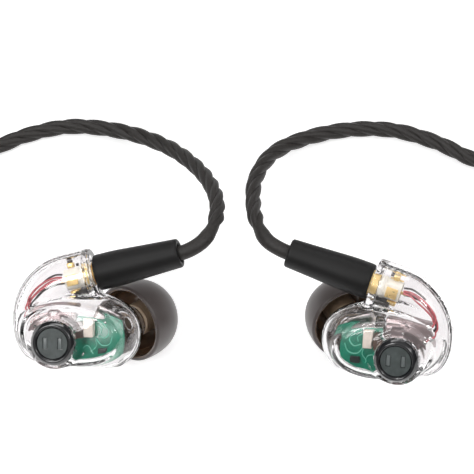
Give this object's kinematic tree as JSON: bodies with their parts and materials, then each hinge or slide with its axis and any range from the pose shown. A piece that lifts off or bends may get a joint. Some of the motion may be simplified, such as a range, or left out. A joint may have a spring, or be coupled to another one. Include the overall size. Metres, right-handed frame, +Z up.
{
  "type": "in-ear monitors",
  "caption": "Clear-shelled in-ear monitors with silicone ear tips, on a detachable twisted over-ear cable with chin slider and headphone plug.",
  "frame": {"origin": "middle of the box of the two monitors with their boots, on the table that they lie on", "axes": "+Z up from the table, +X from the monitor for the right ear to the one for the left ear, +Y from the monitors towards the coiled cable"},
  "size_m": [0.0923, 0.118, 0.0202],
  "materials": {
    "clear_shell": "polished clear acrylic",
    "gloss_black": "gloss",
    "smoked_disc": "smoked, gloss",
    "gold": "gold plated",
    "white_insulator": "matte",
    "black_potting": "satin",
    "driver_mauve": "satin",
    "driver_steel": "satin",
    "green_board": "solder mask, satin",
    "ceramic_cream": "ceramic, matte",
    "clear_tube": "clear, soft",
    "damper_green": "matte",
    "fine_mesh": "woven wire",
    "red_wire": "enamel",
    "black_wire": "enamel",
    "silicone_tip": "satin silicone",
    "boot_rubber": "matte rubber",
    "cable_jacket": "matte, twisted",
    "strap": "hook and loop tape",
    "plug_grip": "satin"
  },
  "bodies": {
    "cable": {"right_plug": "gold", "right_plug_core": "white_insulator", "right_boot": "boot_rubber", "right_leg_cord": "cable_jacket", "left_plug": "gold", "left_plug_core": "white_insulator", "left_boot": "boot_rubber", "left_leg_cord": "cable_jacket", "leg_coil": "cable_jacket", "leg_coil_tie": "strap", "split_block": "boot_rubber", "trunk_cord": "cable_jacket", "trunk_coil": "cable_jacket", "trunk_coil_ties": "strap", "headphone_plug_relief": "boot_rubber", "headphone_plug_grip": "plug_grip", "headphone_plug_contacts": "gold", "headphone_plug_insulators": "gloss_black"},
    "right_monitor": {"right_shell_front": "clear_shell", "right_shell_back": "clear_shell", "right_vent_ring": "gloss_black", "right_vent_disc": "smoked_disc", "right_jack": "gold", "right_jack_insulator": "white_insulator", "right_jack_pin": "gold", "right_arm_seal": "black_potting", "right_woofer": "driver_mauve", "right_midrange": "driver_steel", "right_tweeter": "driver_steel", "right_circuit_board": "green_board", "right_capacitors": "ceramic_cream", "right_sound_tubes": "clear_tube", "right_damper": "damper_green", "right_nozzle_mesh": "fine_mesh", "right_red_wire": "red_wire", "right_black_wire": "black_wire"},
    "right_tip": {"right_ear_tip": "silicone_tip"},
    "right_ring": {"right_snap_ring": "gold"},
    "left_ring": {"left_snap_ring": "gold"},
    "left_monitor": {"left_shell_front": "clear_shell", "left_shell_back": "clear_shell", "left_vent_ring": "gloss_black", "left_vent_disc": "smoked_disc", "left_jack": "gold", "left_jack_insulator": "white_insulator", "left_jack_pin": "gold", "left_arm_seal": "black_potting", "left_woofer": "driver_mauve", "left_midrange": "driver_steel", "left_tweeter": "driver_steel", "left_circuit_board": "green_board", "left_capacitors": "ceramic_cream", "left_sound_tubes": "clear_tube", "left_damper": "damper_green", "left_nozzle_mesh": "fine_mesh", "left_red_wire": "red_wire", "left_black_wire": "black_wire"},
    "left_tip": {"left_ear_tip": "silicone_tip"},
    "slider": {"chin_slider": "boot_rubber"}
  },
  "joints": [
    {"name": "right_swivel", "type": "hinge", "parent": "cable", "child": "right_ring", "pos_m": [-0.02011, 0.0066, 0.01446], "axis": [0.9496, 0.1346, 0.2833], "continuous": true},
    {"name": "right_unplug", "type": "slide", "parent": "right_ring", "child": "right_monitor", "axis": [-0.9496, -0.1346, -0.2833], "range_m": [0, 0.0045]},
    {"name": "right_tip_pull", "type": "slide", "parent": "right_monitor", "child": "right_tip", "axis": [0.6444, 0.5595, -0.5212], "range_m": [0, 0.009]},
    {"name": "left_swivel", "type": "hinge", "parent": "cable", "child": "left_ring", "pos_m": [0.02039, 0.00441, 0.01634], "axis": [-0.9372, 0.3468, 0.0367], "continuous": true},
    {"name": "left_unplug", "type": "slide", "parent": "left_ring", "child": "left_monitor", "axis": [0.9372, -0.3468, -0.0367], "range_m": [0, 0.0045]},
    {"name": "left_tip_pull", "type": "slide", "parent": "left_monitor", "child": "left_tip", "axis": [-0.3182, 0.7563, -0.5716], "range_m": [0, 0.009]},
    {"name": "slider_travel", "type": "slide", "parent": "cable", "child": "slider", "axis": [-1, 0, 0], "range_m": [0, 0.005]}
  ]
}
